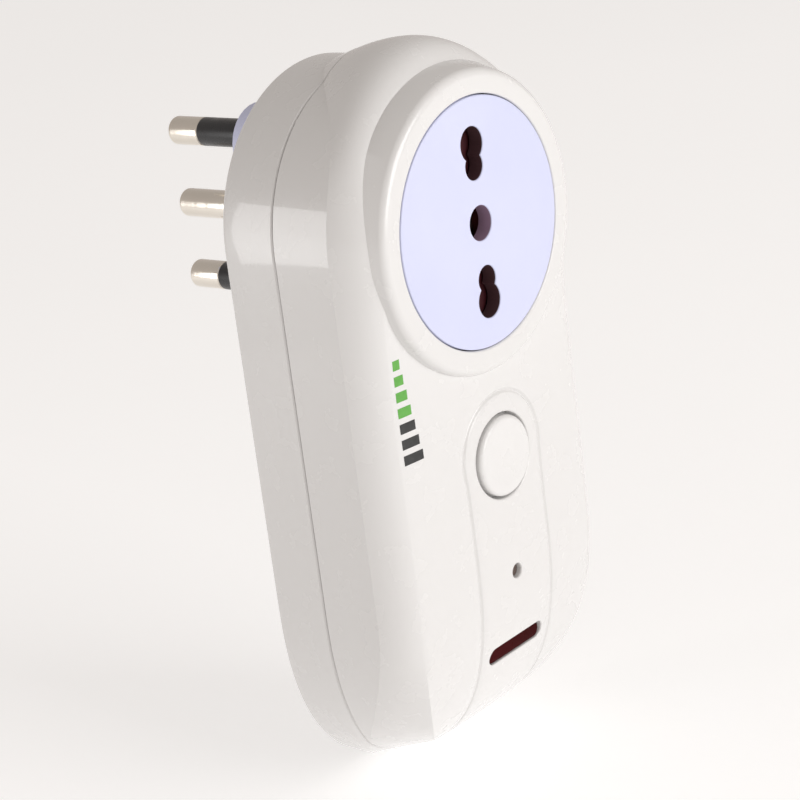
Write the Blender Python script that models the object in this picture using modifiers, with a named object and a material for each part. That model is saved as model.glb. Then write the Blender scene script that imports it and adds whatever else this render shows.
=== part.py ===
"""Plug-through power meter for Italian 16 A sockets, built as an assembly.

The origin is on the middle (earth) pin's axis, in the plane of the plug's face.
+Y points into the wall, -Y out of it, +Z up and +X to the right as seen from the front.
"""
from math import copysign, cos, exp, pi, radians, sin

import bmesh
import bpy
from mathutils import Matrix, Vector

MM = 0.001
GAP = 0.3 * MM          # clearance between neighbouring pieces

# Plug: three 5 mm pins in a line, 13 mm apart, 19 mm long
PIN_PITCH = 13.0 * MM
PIN_RADIUS = 2.5 * MM
PIN_LENGTH = 19.0 * MM
PIN_INNER_END = -19.5 * MM
NECK_RADIUS = 1.8 * MM
SLEEVE_END = 12.0 * MM
BOSS_HALF_WIDTH = 6.9 * MM
BOSS_HALF_HEIGHT = 18.5 * MM
BOSS_FLANGE = 2.3 * MM

# Case outline: a round head above a long body with an elliptical foot
REAR_Y = -13.5 * MM
REAR_EDGE = 1.3 * MM
HEAD_RADIUS = 26.7 * MM
SIDE_FLARE = 0.075      # growth of the half width for each unit of depth, below the head
FOOT_Z = -60.8 * MM
FOOT_HEIGHT = 36.0 * MM
FOOT_POWER = 2.4        # the foot is a superellipse
WALL = 2.0 * MM
SEAM_Y = -25.3 * MM

# Case front: a crowned face, rolled over to a crease on the side wall
CREASE_Y = -37.4 * MM
HEAD_CREASE_RISE = 17.0 * MM
FOOT_CREASE_RISE = 21.3 * MM
ROLL_INSET = 4.5 * MM
HEAD_BULGE = 7.5 * MM
FRONT_Y = -45.0 * MM
CREST_Z = -55.0 * MM
HEAD_FALL = 7.5         # cubic fall of the face above the crest, per square metre
CROWN = 3.3             # quadratic fall of the face to each side, per metre
SHOULDER = 4.0          # how much less it falls beside the socket
SHOULDER_Z = 3.0 * MM
SHOULDER_SPREAD = 16.0 * MM
NOSE_BACK = -15.0 * MM
NOSE_HEIGHT = 38.5 * MM
NOSE_POWER = 2.6
ARC_STEPS = 18
SIDE_STEPS = 5

# Socket
DISC_Y = -45.85 * MM
DISC_RADIUS = 20.55 * MM
DISC_THICKNESS = 2.5 * MM
COLLAR_RADIUS = 25.0 * MM
COLLAR_BASE_RADIUS = 26.0 * MM
COLLAR_BACK = -37.0 * MM
FLANGE_RADIUS = 24.3 * MM
FLANGE_THICKNESS = 1.5 * MM
HOLE_RADIUS = 2.9 * MM
SMALL_HOLE_RADIUS = 2.3 * MM
SMALL_HOLE_Z = 9.4 * MM
CARRIER_RADIUS = 18.3 * MM
CARRIER_BACK = -26.5 * MM
RECESS_RADIUS = 17.9 * MM
RECESS_DEPTH = 1.9 * MM
SHUTTER_THICKNESS = 1.2 * MM
PAD_RADIUS = 3.2 * MM
LINK_WIDTH = 2.0 * MM
LEAF = 0.6 * MM
LEAF_X = 2.65 * MM

# Button, indicator and window on the centreline
BUTTON_Z = -40.0 * MM
BUTTON_RADIUS = 6.85 * MM
BUTTON_FACE_Y = -45.3 * MM
BUTTON_TRAVEL = 0.8 * MM
LAMP_Z = -60.7 * MM
LAMP_RADIUS = 1.25 * MM
WINDOW_Z = -74.4 * MM
WINDOW_LENGTH = 15.0 * MM
WINDOW_HEIGHT = 3.0 * MM

# Circuit board and its parts
BOARD_Y = -30.4 * MM
BOARD_THICKNESS = 1.6 * MM
BOARD_HALF_WIDTH = 19.0 * MM
BOARD_TOP = -30.0 * MM
BOARD_BOTTOM = -79.0 * MM

CASE_SCREWS = ((-20.5 * MM, -25.0 * MM), (20.5 * MM, -25.0 * MM), (-12.5 * MM, -83.0 * MM), (12.5 * MM, -83.0 * MM))
BOARD_SCREWS = ((-15.5 * MM, -58.0 * MM), (15.5 * MM, -58.0 * MM))
SOCKET_SCREW_X = 22.5 * MM
WIRE_RESOLUTION = 1

COLOURS = {  # name: (colour, roughness, metallic)
    "white_plastic": ((0.86, 0.86, 0.84), 0.25, 0.0),
    "lavender_plastic": ((0.72, 0.74, 0.95), 0.45, 0.0),
    "black_plastic": ((0.02, 0.02, 0.022), 0.4, 0.0),
    "inner_plastic": ((0.10, 0.06, 0.06), 0.5, 0.0),
    "shutter_plastic": ((0.24, 0.05, 0.06), 0.5, 0.0),
    "nickel": ((0.62, 0.58, 0.52), 0.25, 1.0),
    "brass": ((0.72, 0.55, 0.25), 0.3, 1.0),
    "steel": ((0.55, 0.55, 0.56), 0.3, 1.0),
    "red_window": ((0.25, 0.02, 0.03), 0.15, 0.0),
    "clear_lamp": ((0.25, 0.12, 0.10), 0.2, 0.0),
    "board_green": ((0.02, 0.18, 0.07), 0.45, 0.0),
    "relay_blue": ((0.03, 0.12, 0.40), 0.4, 0.0),
    "capacitor_yellow": ((0.75, 0.55, 0.05), 0.45, 0.0),
    "varistor_blue": ((0.04, 0.16, 0.45), 0.5, 0.0),
    "chip_black": ((0.03, 0.03, 0.03), 0.5, 0.0),
    "copper": ((0.72, 0.35, 0.18), 0.3, 1.0),
    "wire_brown": ((0.20, 0.08, 0.03), 0.5, 0.0),
    "wire_blue": ((0.03, 0.10, 0.45), 0.5, 0.0),
}


# ---------------------------------------------------------------- helpers

def clear_scene():
    for item in list(bpy.data.objects):
        bpy.data.objects.remove(item, do_unlink=True)


def new_collection(name):
    made = bpy.data.collections.new(name)
    bpy.context.scene.collection.children.link(made)
    return made


def material(name):
    found = bpy.data.materials.get(name)
    if found:
        return found
    colour, roughness, metallic = COLOURS[name]
    made = bpy.data.materials.new(name)
    made.use_nodes = True
    shader = made.node_tree.nodes["Principled BSDF"]
    shader.inputs["Base Color"].default_value = (*colour, 1.0)
    shader.inputs["Roughness"].default_value = roughness
    shader.inputs["Metallic"].default_value = metallic
    return made


def file_under(item, name, finish):
    """Name an object and put it with the parts, or with the cutters when it has no finish."""
    item.name = name
    item.data.name = name
    for owner in list(item.users_collection):
        owner.objects.unlink(item)
    if finish:
        PARTS.objects.link(item)
        item.data.materials.append(material(finish))
    else:
        CUTTERS.objects.link(item)
        item.hide_render = True
        item.display_type = "WIRE"
    return item


def box(name, low, high, finish=None, bevel=0.0):
    """A box between two corners."""
    centre = [(a + b) / 2 for a, b in zip(low, high)]
    size = [b - a for a, b in zip(low, high)]
    bpy.ops.mesh.primitive_cube_add(size=1, location=centre)
    item = file_under(bpy.context.object, name, finish)
    item.data.transform(Matrix.Diagonal((*size, 1.0)))
    if bevel:
        add_bevel(item, bevel)
    return item


def rod(name, radius, front, back, x=0.0, z=0.0, finish=None, sides=24):
    """A cylinder along Y, from its front end to its back end."""
    middle = (front + back) / 2
    bpy.ops.mesh.primitive_cylinder_add(
        vertices=sides, radius=radius, depth=back - front, location=(x, middle, z), rotation=(pi / 2, 0, 0))
    item = file_under(bpy.context.object, name, finish)
    shade(item)
    return item


def shade(item):
    item.data.shade_smooth()
    item.data.set_sharp_from_angle(angle=radians(35))


def add_bevel(item, width, segments=2, angle=35):
    bevel = item.modifiers.new("rounded edges", "BEVEL")
    bevel.width = width
    bevel.segments = segments
    bevel.limit_method = "ANGLE"
    bevel.angle_limit = radians(angle)


def boolean(item, other, operation):
    change = item.modifiers.new(operation.lower() + " " + other.name, "BOOLEAN")
    change.operation = operation
    change.object = other


def cut(item, *others):
    for other in others:
        boolean(item, other, "DIFFERENCE")


def join(item, *others):
    for other in others:
        boolean(item, other, "UNION")


def turned(name, profile, finish=None, closed=False, x=0.0, z=0.0, steps=40):
    """A piece turned about a line along Y; profile holds (radius, y) from the front axis outwards."""
    mesh = bpy.data.meshes.new(name)
    count = len(profile)
    edges = [(i, i + 1) for i in range(count - 1)]
    if closed:
        edges.append((count - 1, 0))
    mesh.from_pydata([(radius, 0.0, -y) for radius, y in profile], edges, [])
    item = bpy.data.objects.new(name, mesh)
    bpy.context.scene.collection.objects.link(item)
    item.rotation_euler = (pi / 2, 0, 0)
    item.location = (x, 0.0, z)
    file_under(item, name, finish)
    screw = item.modifiers.new("turn", "SCREW")
    screw.steps = steps
    screw.render_steps = steps
    screw.use_merge_vertices = True
    screw.merge_threshold = 0.00001
    screw.use_smooth_shade = True
    return item


def arc(centre, radius, start, end, steps):
    """Points (a, b) on an arc between two angles in degrees."""
    turns = [radians(start + (end - start) * i / steps) for i in range(steps + 1)]
    return [(centre[0] + radius * cos(t), centre[1] + radius * sin(t)) for t in turns]


def plate(name, outline, front, back, finish=None):
    """A flat plate square to Y with an (x, z) outline."""
    curve = bpy.data.curves.new(name, "CURVE")
    curve.dimensions = "2D"
    curve.fill_mode = "BOTH"
    curve.extrude = (back - front) / 2
    spline = curve.splines.new("POLY")
    spline.points.add(len(outline) - 1)
    for point, (x, z) in zip(spline.points, outline):
        point.co = (x, z, 0.0, 1.0)
    spline.use_cyclic_u = True
    item = bpy.data.objects.new(name, curve)
    bpy.context.scene.collection.objects.link(item)
    item.rotation_euler = (pi / 2, 0, 0)
    item.location = (0.0, (front + back) / 2, 0.0)
    return as_mesh(item, name, finish)


def as_mesh(item, name, finish):
    """Turn a curve object into a mesh object with welded caps."""
    bpy.context.view_layer.update()
    graph = bpy.context.evaluated_depsgraph_get()
    mesh = bpy.data.meshes.new_from_object(item.evaluated_get(graph))
    edit = bmesh.new()
    edit.from_mesh(mesh)
    bmesh.ops.remove_doubles(edit, verts=edit.verts, dist=0.00001)
    bmesh.ops.recalc_face_normals(edit, faces=edit.faces)
    edit.to_mesh(mesh)
    edit.free()
    mesh.materials.clear()
    made = bpy.data.objects.new(name, mesh)
    bpy.context.scene.collection.objects.link(made)
    made.matrix_world = item.matrix_world.copy()
    bpy.data.objects.remove(item, do_unlink=True)
    return file_under(made, name, finish)


def wire(name, points, radius, finish):
    """A round wire through the given points."""
    curve = bpy.data.curves.new(name, "CURVE")
    curve.dimensions = "3D"
    curve.bevel_depth = radius
    curve.bevel_resolution = WIRE_RESOLUTION
    curve.use_fill_caps = True
    spline = curve.splines.new("POLY")
    spline.points.add(len(points) - 1)
    for knot, place in zip(spline.points, points):
        knot.co = (*place, 1.0)
    item = bpy.data.objects.new(name, curve)
    bpy.context.scene.collection.objects.link(item)
    return as_mesh(item, name, finish)


def smooth_route(stops, steps=6):
    """A Catmull-Rom curve through the stops."""
    ends = [stops[0], *stops, stops[-1]]
    route = []
    for a, b, c, d in zip(ends, ends[1:], ends[2:], ends[3:]):
        a, b, c, d = (Vector(p) for p in (a, b, c, d))
        for i in range(steps):
            t = i / steps
            route.append(0.5 * (2 * b + (c - a) * t + (2 * a - 5 * b + 4 * c - d) * t ** 2
                                + (3 * b - a - 3 * c + d) * t ** 3))
    route.append(Vector(stops[-1]))
    return route


# ---------------------------------------------------------------- case surface

def front_depth(x, z):
    """Depth of the crowned front face at a point."""
    crown = (CROWN - SHOULDER * exp(-((z - SHOULDER_Z) / SHOULDER_SPREAD) ** 2)) * x * x
    if z > CREST_Z:
        return FRONT_Y + HEAD_FALL * (z - CREST_Z) ** 3 + crown
    drop = min((CREST_Z - z) / NOSE_HEIGHT, 0.98) ** NOSE_POWER
    return NOSE_BACK + (FRONT_Y - NOSE_BACK) * (1 - drop) ** (1 / NOSE_POWER) + crown


class Station:
    """One place on the outline, seen from the nearest point of the case's spine."""

    def __init__(self, spine_z, across, up):
        self.spine_z = spine_z
        self.across = across
        self.up = up
        self.head = max(up, 0.0) ** 4.5
        self.bulge = max(up, 0.0) ** 3.3
        self.foot = max(-up, 0.0)

    def edge(self, y):
        """Reach of the outline from the spine at depth y, as (x, z)."""
        width = HEAD_RADIUS + SIDE_FLARE * (REAR_Y - y) * (1 - self.head)
        height = FOOT_HEIGHT if self.foot else width
        return Vector((self.across * width, self.up * height))

    def point(self, y, inset=0.0, scale=1.0):
        reach = self.edge(y)
        reach = (reach - reach.normalized() * inset) * scale
        return Vector((reach.x, y, self.spine_z + reach.y))

    def crease(self):
        rise = HEAD_CREASE_RISE * self.head + FOOT_CREASE_RISE * self.foot ** 1.85
        return CREASE_Y + rise


def stations():
    """Places round the outline: head, left side, foot, right side."""
    turns = [pi * i / ARC_STEPS for i in range(ARC_STEPS)]
    head = [Station(0.0, cos(turn), sin(turn)) for turn in turns]
    left = [Station(FOOT_Z * i / SIDE_STEPS, -1.0, 0.0) for i in range(SIDE_STEPS)]
    power = 2 / FOOT_POWER
    foot = [Station(FOOT_Z, -copysign(abs(cos(turn)) ** power, cos(turn)), -sin(turn) ** power) for turn in turns]
    right = [Station(FOOT_Z * (1 - i / SIDE_STEPS), 1.0, 0.0) for i in range(SIDE_STEPS)]
    return head + left + foot + right


def case_section(station):
    """Points of one station, from the spine at the rear, round the side, to the spine at the front."""
    points = [station.point(REAR_Y, scale=0.0), station.point(REAR_Y, inset=REAR_EDGE)]
    wall_start = REAR_Y - REAR_EDGE
    crease = station.crease()
    points += [station.point(wall_start + (crease - wall_start) * t) for t in (0.0, 0.5)]
    inset = ROLL_INSET * (1 - 0.6 * station.head)
    start = station.point(crease)
    end = station.point(crease, inset=inset)
    end.y = front_depth(end.x, end.z)
    bulge = HEAD_BULGE * station.bulge - 0.3 * ROLL_INSET * (1 - station.bulge)
    middle = station.point(crease, inset=-bulge)
    middle.y = end.y + 1.5 * MM + MM * station.bulge + 10 * MM * station.foot ** 2
    for t in (0.0, 0.3, 0.65, 1.0):
        points.append(start * (1 - t) ** 2 + middle * 2 * t * (1 - t) + end * t ** 2)
    for scale in (0.9, 0.75, 0.5, 0.25, 0.0):
        place = Vector((end.x * scale, 0.0, station.spine_z + (end.z - station.spine_z) * scale))
        place.y = front_depth(place.x, place.z)
        points.append(place)
    return points


def case_shell(name):
    """The whole case as a hollow shell, before it is split at the seam."""
    sections = [case_section(station) for station in stations()]
    edit = bmesh.new()
    rows = [[edit.verts.new(point) for point in section] for section in sections]
    for row, following in zip(rows, rows[1:] + rows[:1]):
        for i in range(len(row) - 1):
            edit.faces.new((row[i], row[i + 1], following[i + 1], following[i]))
    bmesh.ops.remove_doubles(edit, verts=edit.verts, dist=0.00001)
    bmesh.ops.recalc_face_normals(edit, faces=edit.faces)
    mesh = bpy.data.meshes.new(name)
    edit.to_mesh(mesh)
    edit.free()
    item = bpy.data.objects.new(name, mesh)
    bpy.context.scene.collection.objects.link(item)
    file_under(item, name, "white_plastic")
    shade(item)
    solid = item.modifiers.new("wall", "SOLIDIFY")
    solid.thickness = WALL
    solid.offset = -1
    solid.use_even_offset = False
    return item


# ---------------------------------------------------------------- case pieces

def front_cover():
    cover = case_shell("front_cover")
    reach = 200 * MM
    behind = box("front_cover_trim", (-reach, SEAM_Y - GAP / 2, -reach), (reach, reach, reach))
    cut(cover, behind)
    join(cover, collar())
    join(cover, *posts())
    bore = rod("disc_bore", DISC_RADIUS + GAP, -60 * MM, COLLAR_BACK + 5 * MM, sides=48)
    cut(cover, bore)
    cut(cover, rod("button_bore", BUTTON_RADIUS + 0.5 * MM, -60 * MM, -40 * MM, z=BUTTON_Z, sides=40))
    cut(cover, rod("lamp_bore", LAMP_RADIUS, -60 * MM, -40 * MM, z=LAMP_Z, sides=16))
    cut(cover, stadium("window_slot", WINDOW_LENGTH, WINDOW_HEIGHT, -60 * MM, -36 * MM))
    for i, (x, z) in enumerate(CASE_SCREWS, 1):
        end = case_screw_tip(x, z) - GAP
        cut(cover, rod(f"case_screw_bore_{i}", 1.6 * MM, end, -20 * MM, x, z, sides=12))
    for i, (x, z) in enumerate(BOARD_SCREWS, 1):
        cut(cover, rod(f"board_screw_bore_{i}", 1.2 * MM, -38.5 * MM, -20 * MM, x, z, sides=12))
    for side, x in (("left", -SOCKET_SCREW_X), ("right", SOCKET_SCREW_X)):
        cut(cover, rod("socket_screw_bore_" + side, 1.3 * MM, -41 * MM, -30 * MM, x, sides=12))


def collar():
    """The raised ring round the socket disc."""
    edge = 1.5 * MM
    profile = [(DISC_RADIUS - 2 * MM, DISC_Y)]
    profile += arc((COLLAR_RADIUS - edge, DISC_Y + edge), edge, -90, 0, 4)
    profile += [(COLLAR_BASE_RADIUS, -41 * MM), (COLLAR_BASE_RADIUS, COLLAR_BACK)]
    profile.append((DISC_RADIUS - 2 * MM, COLLAR_BACK))
    return turned("collar", profile, closed=True, steps=48)


def posts():
    """Posts inside the front cover that take the case screws and the board screws."""
    made = []
    for i, (x, z) in enumerate(CASE_SCREWS, 1):
        made.append(post(f"case_post_{i}", 3.4 * MM, SEAM_Y - GAP, x, z))
    for i, (x, z) in enumerate(BOARD_SCREWS, 1):
        made.append(post(f"board_post_{i}", 2.4 * MM, BOARD_Y - BOARD_THICKNESS / 2 - GAP, x, z))
    return made


def post_root(radius, x, z):
    """Depth inside the front wall at the post's rim farthest from the spine."""
    outward = Vector((x, min(z - FOOT_Z, 0.0))).normalized() * radius
    return front_depth(x + outward.x, z + outward.y) + 0.9 * MM


def post(name, radius, back, x, z):
    return rod(name, radius, post_root(radius, x, z), back, x, z, sides=16)


def case_screw_tip(x, z):
    return max(-37 * MM, post_root(3.4 * MM, x, z) + 2.5 * MM)


def stadium(name, length, height, front, back, finish=None):
    """A slot shape with round ends, along X at the window's height."""
    radius = height / 2
    reach = length / 2 - radius
    outline = arc((reach, WINDOW_Z), radius, -90, 90, 8) + arc((-reach, WINDOW_Z), radius, 90, 270, 8)
    return plate(name, outline, front, back, finish)


def boss_block(name, grown, front, back, finish=None):
    """The upright slot shape of the plug's boss, grown all round, as a block along Y."""
    radius = BOSS_HALF_WIDTH + grown
    reach = BOSS_HALF_HEIGHT - BOSS_HALF_WIDTH
    outline = arc((0.0, reach), radius, 0, 180, 16) + arc((0.0, -reach), radius, 180, 360, 16)
    return plate(name, outline, front, back, finish)


def rear_cover():
    cover = case_shell("rear_cover")
    reach = 200 * MM
    cut(cover, box("rear_cover_trim", (-reach, -reach, -reach), (reach, SEAM_Y + GAP / 2, reach)))
    for i, (x, z) in enumerate(CASE_SCREWS, 1):
        join(cover, rod(f"rear_post_{i}", 3.6 * MM, SEAM_Y + GAP, REAR_Y - MM, x, z, sides=16))
        cut(cover, rod(f"rear_head_bore_{i}", 2.7 * MM, -19 * MM, 0.0, x, z, sides=16))
        cut(cover, rod(f"rear_shank_bore_{i}", 1.6 * MM, -40 * MM, -15 * MM, x, z, sides=12))
    cut(cover, boss_block("boss_hole", GAP, -20 * MM, 0.0))


def plug_boss():
    boss = boss_block("plug_boss", 0.0, -16.5 * MM, 0.0, "lavender_plastic")
    inside = REAR_Y - WALL - GAP
    join(boss, boss_block("boss_flange", BOSS_FLANGE, inside - 2 * MM, inside))
    for name, z in pin_places():
        cut(boss, rod(f"pin_hole_{name}", PIN_RADIUS + GAP, -30 * MM, 10 * MM, z=z))


def pin_places():
    return (("line", PIN_PITCH), ("neutral", -PIN_PITCH), ("earth", 0.0))


def screw(name, x, z, radius, head_radius, head_back, head_height, tip):
    """A screw with a domed cross-slotted head, driven from the rear towards the front."""
    seat = head_back - head_height
    item = turned(name, [(0.0, tip), (0.6 * radius, tip), (radius, tip + 1.2 * radius), (radius, seat),
                         (head_radius, seat), (head_radius, seat + 0.5 * head_height),
                         (0.6 * head_radius, head_back), (0.0, head_back)], "steel", x=x, z=z, steps=16)
    arm = 0.55 * head_radius
    slot = 0.12 * head_radius
    low = head_back - 0.6 * head_height
    high = head_back + head_height
    cross = box(name + "_cross_x", (x - arm, low, z - slot), (x + arm, high, z + slot))
    cut(item, cross, box(name + "_cross_z", (x - slot, low, z - arm), (x + slot, high, z + arm)))


def screws():
    for i, (x, z) in enumerate(CASE_SCREWS, 1):
        screw(f"case_screw_{i}", x, z, 1.3 * MM, 2.4 * MM, -16.9 * MM, 1.8 * MM, case_screw_tip(x, z))
    for i, (x, z) in enumerate(BOARD_SCREWS, 1):
        seat = BOARD_Y + BOARD_THICKNESS / 2 + GAP
        screw(f"board_screw_{i}", x, z, 0.9 * MM, 2.0 * MM, seat + 1.2 * MM, 1.2 * MM, -38 * MM)
    for side, x in (("left", -SOCKET_SCREW_X), ("right", SOCKET_SCREW_X)):
        seat = COLLAR_BACK + 2 * FLANGE_THICKNESS + 3 * GAP
        screw("socket_screw_" + side, x, 0.0, 1.0 * MM, 1.9 * MM, seat + 1.2 * MM, 1.2 * MM, -40.5 * MM)


# ---------------------------------------------------------------- plug pieces

def pins():
    """The bare earth pin and the two sleeved live pins."""
    tip = arc((PIN_RADIUS - 1.2 * MM, PIN_LENGTH - 1.2 * MM), 1.2 * MM, 0, 90, 4)
    inner = (PIN_RADIUS, PIN_INNER_END)
    turned("pin_earth", [(0.0, PIN_INNER_END), inner, *tip, (0.0, PIN_LENGTH)], "nickel", steps=24)
    for name, z in pin_places()[:2]:
        neck = [(PIN_RADIUS, -3 * MM), (NECK_RADIUS, -3 * MM), (NECK_RADIUS, SLEEVE_END), (PIN_RADIUS, SLEEVE_END)]
        profile = [(0.0, PIN_INNER_END), inner, *neck, *tip, (0.0, PIN_LENGTH)]
        turned("pin_" + name, profile, "nickel", z=z, steps=24)
        sleeve = [(PIN_RADIUS, -2.7 * MM), (PIN_RADIUS, SLEEVE_END - GAP),
                  (NECK_RADIUS + GAP, SLEEVE_END - GAP), (NECK_RADIUS + GAP, -2.7 * MM)]
        turned("sleeve_" + name, sleeve, "black_plastic", closed=True, z=z, steps=24)


# ---------------------------------------------------------------- socket pieces

def socket_disc():
    back = DISC_Y + DISC_THICKNESS
    skirt_inner = CARRIER_RADIUS + GAP
    flange_front = COLLAR_BACK + GAP
    flange_back = flange_front + FLANGE_THICKNESS
    profile = [(0.0, DISC_Y), (DISC_RADIUS - 0.3 * MM, DISC_Y), (DISC_RADIUS, DISC_Y + 0.3 * MM),
               (DISC_RADIUS, flange_front), (FLANGE_RADIUS, flange_front), (FLANGE_RADIUS, flange_back),
               (skirt_inner, flange_back), (skirt_inner, back), (0.0, back)]
    disc = turned("socket_disc", profile, "lavender_plastic", steps=48)
    for name, z, radius in (("line", PIN_PITCH, HOLE_RADIUS), ("line_small", SMALL_HOLE_Z, SMALL_HOLE_RADIUS),
                            ("earth", 0.0, HOLE_RADIUS), ("neutral_small", -SMALL_HOLE_Z, SMALL_HOLE_RADIUS),
                            ("neutral", -PIN_PITCH, HOLE_RADIUS)):
        cut(disc, rod("socket_hole_" + name, radius, -50 * MM, -40 * MM, z=z))
    for side, x in (("left", -SOCKET_SCREW_X), ("right", SOCKET_SCREW_X)):
        cut(disc, rod("disc_screw_hole_" + side, 1.3 * MM, -40 * MM, -30 * MM, x, sides=12))


def contact_places():
    """Middle height and half height of each contact's pocket."""
    live = (PIN_PITCH + SMALL_HOLE_Z) / 2
    return (("line", live, 4.4 * MM), ("neutral", -live, 4.4 * MM), ("earth", 0.0, 2.6 * MM))


def contact_carrier():
    """Moulding behind the disc with a shutter recess in front and three pockets."""
    front = DISC_Y + DISC_THICKNESS + GAP
    flange_front = COLLAR_BACK + FLANGE_THICKNESS + 2 * GAP
    flange_back = flange_front + FLANGE_THICKNESS
    floor = front + RECESS_DEPTH
    profile = [(0.0, floor), (RECESS_RADIUS, floor), (RECESS_RADIUS, front), (CARRIER_RADIUS, front),
               (CARRIER_RADIUS, flange_front), (FLANGE_RADIUS, flange_front), (FLANGE_RADIUS, flange_back),
               (CARRIER_RADIUS, flange_back), (CARRIER_RADIUS, CARRIER_BACK), (0.0, CARRIER_BACK)]
    carrier = turned("contact_carrier", profile, "inner_plastic", steps=48)
    pocket = LEAF_X + LEAF + GAP
    for name, z, half in contact_places():
        low = (-pocket, front - MM, z - half - GAP)
        cut(carrier, box("pocket_" + name, low, (pocket, CARRIER_BACK - 2 * MM, z + half + GAP)))
        slit = (2.3 * MM, 0.8 * MM)
        low = (-slit[0], CARRIER_BACK - 4 * MM, z - slit[1])
        cut(carrier, box("slit_" + name, low, (slit[0], CARRIER_BACK + MM, z + slit[1])))
    for side, x in (("left", -SOCKET_SCREW_X), ("right", SOCKET_SCREW_X)):
        cut(carrier, rod("carrier_screw_hole_" + side, 1.3 * MM, -40 * MM, -30 * MM, x, sides=12))


def contacts():
    """Sprung brass channels that grip the pins, each with a tail through the carrier."""
    front = DISC_Y + DISC_THICKNESS + GAP + RECESS_DEPTH + GAP
    back = CARRIER_BACK - 2 * MM - GAP
    outer = LEAF_X + LEAF
    for name, z, half in contact_places():
        item = box("contact_" + name, (-outer, front, z - half), (outer, back, z + half), "brass")
        inside = box("contact_gap_" + name, (-LEAF_X, front - MM, z - half - MM), (LEAF_X, back - LEAF, z + half + MM))
        cut(item, inside)
        tail = box("contact_tail_" + name, (-2 * MM, back - 0.3 * MM, z - 0.5 * MM),
                   (2 * MM, CARRIER_BACK + 2 * MM, z + 0.5 * MM))
        join(item, tail)


def shutter():
    """Sliding plate with a pad over each live hole, joined by a link clear of the earth hole."""
    front = DISC_Y + DISC_THICKNESS + 2 * GAP
    inner = SMALL_HOLE_Z - PAD_RADIUS
    right = PAD_RADIUS + LINK_WIDTH
    top = arc((0.0, PIN_PITCH), PAD_RADIUS, 0, 180, 10)
    upper = [(right, inner + LINK_WIDTH), (PAD_RADIUS, inner + LINK_WIDTH), *top, (-PAD_RADIUS, inner),
             (PAD_RADIUS, inner)]
    lower = [(x, -z) for x, z in reversed(upper)]
    plate("shutter", upper + lower, front, front + SHUTTER_THICKNESS, "shutter_plastic")


def shutter_spring():
    """A light coil between the shutter's link and the rim of the recess."""
    turns = 7
    per_turn = 8
    start = PAD_RADIUS + LINK_WIDTH + GAP
    length = RECESS_RADIUS - 0.7 * MM - start
    middle = DISC_Y + DISC_THICKNESS + GAP + RECESS_DEPTH / 2
    coil = 0.6 * MM
    steps = turns * per_turn
    points = []
    for i in range(steps + 1):
        angle = 2 * pi * i / per_turn
        points.append((start + length * i / steps, middle + coil * sin(angle), coil * cos(angle)))
    wire("shutter_spring", points, 0.13 * MM, "steel")


# ---------------------------------------------------------------- controls on the front

def button():
    face_edge = 0.9 * MM
    flange_front = FRONT_Y + WALL + 0.5 * MM
    flange_back = flange_front + 1.2 * MM
    stem_end = -37.2 * MM
    stem = 2.2 * MM
    profile = [(0.0, BUTTON_FACE_Y - 0.2 * MM), (3.5 * MM, BUTTON_FACE_Y - 0.12 * MM)]
    profile += arc((BUTTON_RADIUS - face_edge, BUTTON_FACE_Y + face_edge), face_edge, -80, 0, 4)
    profile += [(BUTTON_RADIUS, flange_front), (8.4 * MM, flange_front), (8.4 * MM, flange_back),
                (stem, flange_back), (stem, stem_end), (0.0, stem_end)]
    turned("button_cap", profile, "white_plastic", z=BUTTON_Z, steps=40)
    board_front = BOARD_Y - BOARD_THICKNESS / 2
    half = 3 * MM
    low = (-half, board_front - 3.7 * MM, BUTTON_Z - half)
    switch = box("tact_switch", low, (half, board_front - GAP, BUTTON_Z + half), "chip_black")
    cut(switch, rod("plunger_bore", 1.95 * MM, -40 * MM, board_front - 1.1 * MM, z=BUTTON_Z))
    plunger_back = board_front - 1.1 * MM - BUTTON_TRAVEL - GAP
    rod("switch_plunger", 1.6 * MM, stem_end + GAP, plunger_back, z=BUTTON_Z, finish="inner_plastic", sides=20)


def lamp():
    """Indicator lamp on the board and the light pipe that leads it to the small hole."""
    board_front = BOARD_Y - BOARD_THICKNESS / 2
    dome = arc((0.0, -35.2 * MM), 1.5 * MM, -90, 0, 5)
    turned("status_led", [*dome, (1.5 * MM, board_front - MM), (1.9 * MM, board_front - MM),
                          (1.9 * MM, board_front - GAP), (0.0, board_front - GAP)], "clear_lamp", z=LAMP_Z, steps=20)
    radius = LAMP_RADIUS - GAP
    flange = FRONT_Y + WALL + 0.5 * MM
    turned("light_pipe", [(0.0, -44.1 * MM), (radius, -44.1 * MM), (radius, flange), (2.4 * MM, flange),
                          (2.4 * MM, flange + MM), (1.4 * MM, flange + MM), (1.4 * MM, -37.3 * MM),
                          (0.0, -37.3 * MM)], "clear_lamp", z=LAMP_Z, steps=20)


def window():
    """Dark red window in the slot, with a flange behind the cover and two lamps on the board."""
    pane = stadium("indicator_window", WINDOW_LENGTH - 2 * GAP, WINDOW_HEIGHT - 2 * GAP, -42.1 * MM, -38.5 * MM,
                   "red_window")
    join(pane, stadium("window_flange", WINDOW_LENGTH + 2 * MM, WINDOW_HEIGHT + 2 * MM, -39.1 * MM, -37.8 * MM))
    board_front = BOARD_Y - BOARD_THICKNESS / 2
    for side, x in (("left", -4 * MM), ("right", 4 * MM)):
        low = (x - 1.5 * MM, board_front - 1.4 * MM, WINDOW_Z - 1.2 * MM)
        box("window_led_" + side, low, (x + 1.5 * MM, board_front - GAP, WINDOW_Z + 1.2 * MM), "clear_lamp")


# ---------------------------------------------------------------- electronics

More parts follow.
